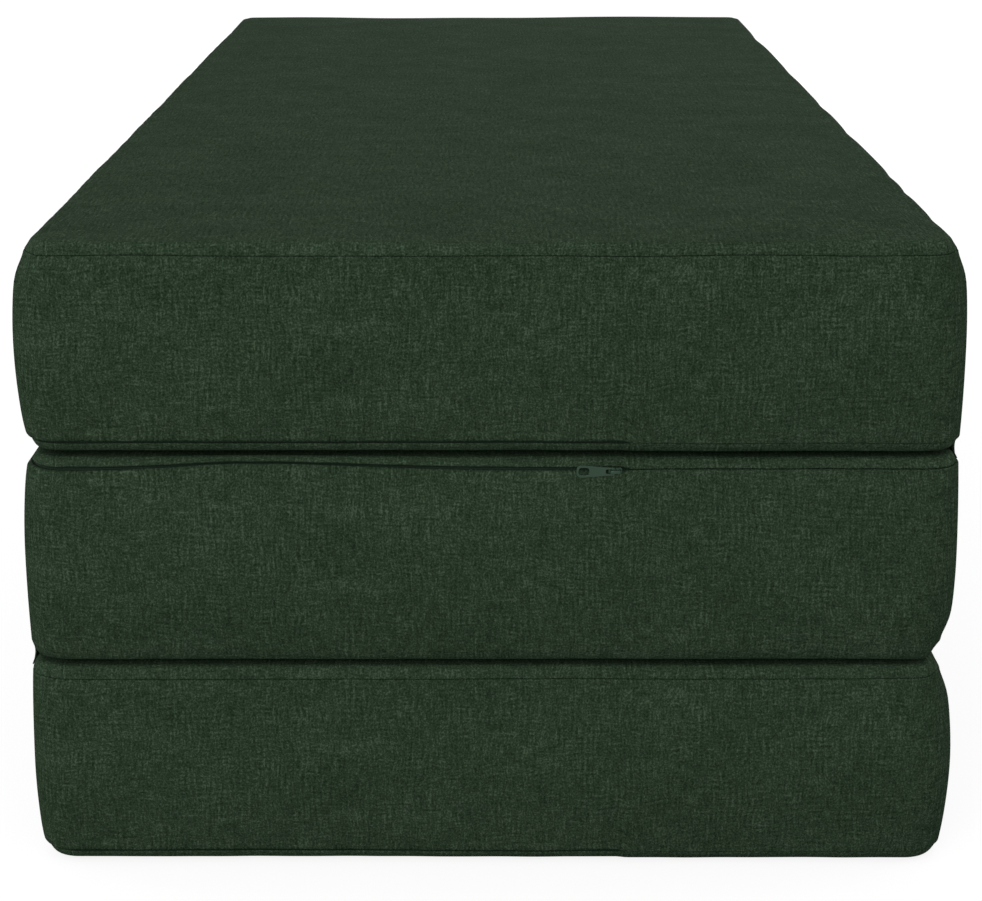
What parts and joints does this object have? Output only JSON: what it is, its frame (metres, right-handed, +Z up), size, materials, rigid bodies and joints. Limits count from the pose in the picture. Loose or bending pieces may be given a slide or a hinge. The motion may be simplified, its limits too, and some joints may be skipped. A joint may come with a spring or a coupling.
{
  "type": "folding mattress",
  "caption": "Tri-fold foam mattress in zipped cloth covers, folded into a stack of three panels that open flat on cloth fold strips, each panel with its own zip.",
  "frame": {"origin": "centre of the folded stack's footprint, on the floor under the bottom panel", "axes": "+X to the right as the picture shows it, +Y along the mattress away from the camera, +Z up"},
  "size_m": [0.6604, 1.474, 0.4578],
  "materials": {
    "cloth": "woven, matte",
    "sock": "knitted, matte",
    "comfort_foam": "open-cell foam",
    "core_foam": "open-cell foam",
    "zip_tape": "woven tape",
    "zip_coil": "satin",
    "zip_metal": "satin enamel"
  },
  "bodies": {
    "bottom_panel": {"bottom_cover_base": "cloth", "bottom_cover_band": "cloth", "bottom_cover_face": "cloth", "bottom_inner_sock": "sock", "bottom_core_foam": "core_foam", "bottom_comfort_foam": "comfort_foam", "bottom_zip_tape_band_side": "zip_tape", "bottom_zip_tape_base_side": "zip_tape", "bottom_zip_coil_band_side": "zip_coil", "bottom_zip_coil_base_side": "zip_coil", "left_fold_strip": "cloth"},
    "middle_panel": {"middle_cover_base": "cloth", "middle_cover_band": "cloth", "middle_cover_face": "cloth", "middle_inner_sock": "sock", "middle_core_foam": "core_foam", "middle_comfort_foam": "comfort_foam", "middle_zip_tape_band_side": "zip_tape", "middle_zip_tape_base_side": "zip_tape", "middle_zip_coil_band_side": "zip_coil", "middle_zip_coil_base_side": "zip_coil", "right_fold_strip": "cloth"},
    "top_panel": {"top_cover_base": "cloth", "top_cover_band": "cloth", "top_cover_face": "cloth", "top_inner_sock": "sock", "top_core_foam": "core_foam", "top_comfort_foam": "comfort_foam", "top_zip_tape_band_side": "zip_tape", "top_zip_tape_base_side": "zip_tape", "top_zip_coil_band_side": "zip_coil", "top_zip_coil_base_side": "zip_coil"},
    "bottom_slider": {"bottom_zip_slider": "zip_metal"},
    "bottom_pull": {"bottom_zip_pull": "zip_metal"},
    "middle_slider": {"middle_zip_slider": "zip_metal"},
    "middle_pull": {"middle_zip_pull": "zip_metal"},
    "top_slider": {"top_zip_slider": "zip_metal"},
    "top_pull": {"top_zip_pull": "zip_metal"}
  },
  "joints": [
    {"name": "left_fold", "type": "hinge", "parent": "bottom_panel", "child": "middle_panel", "pos_m": [-0.3307, 0, 0.15255], "axis": [0, -1, 0], "range_deg": [0, 180], "deforming": ["left_fold_strip"]},
    {"name": "right_fold", "type": "hinge", "parent": "middle_panel", "child": "top_panel", "pos_m": [0.3307, 0, 0.30525], "axis": [0, 1, 0], "range_deg": [0, 180], "deforming": ["right_fold_strip"]},
    {"name": "bottom_zip_run", "type": "slide", "parent": "bottom_panel", "child": "bottom_slider", "axis": [-1, 0, 0], "range_m": [0, 0.37]},
    {"name": "bottom_pull_swing", "type": "hinge", "parent": "bottom_slider", "child": "bottom_pull", "pos_m": [0.08465, 0.73486, 0.0095], "axis": [0, 0, -1], "range_deg": [0, 140]},
    {"name": "top_zip_run", "type": "slide", "parent": "top_panel", "child": "top_slider", "axis": [-1, 0, 0], "range_m": [0, 0.37]},
    {"name": "top_pull_swing", "type": "hinge", "parent": "top_slider", "child": "top_pull", "pos_m": [0.08465, 0.73486, 0.3149], "axis": [0, 0, -1], "range_deg": [0, 140]},
    {"name": "middle_zip_run", "type": "slide", "parent": "middle_panel", "child": "middle_slider", "axis": [-1, 0, 0], "range_m": [0, 0.37]},
    {"name": "middle_pull_swing", "type": "hinge", "parent": "middle_slider", "child": "middle_pull", "pos_m": [0.08465, -0.73486, 0.2956], "axis": [0, 0, 1], "range_deg": [0, 140]}
  ]
}
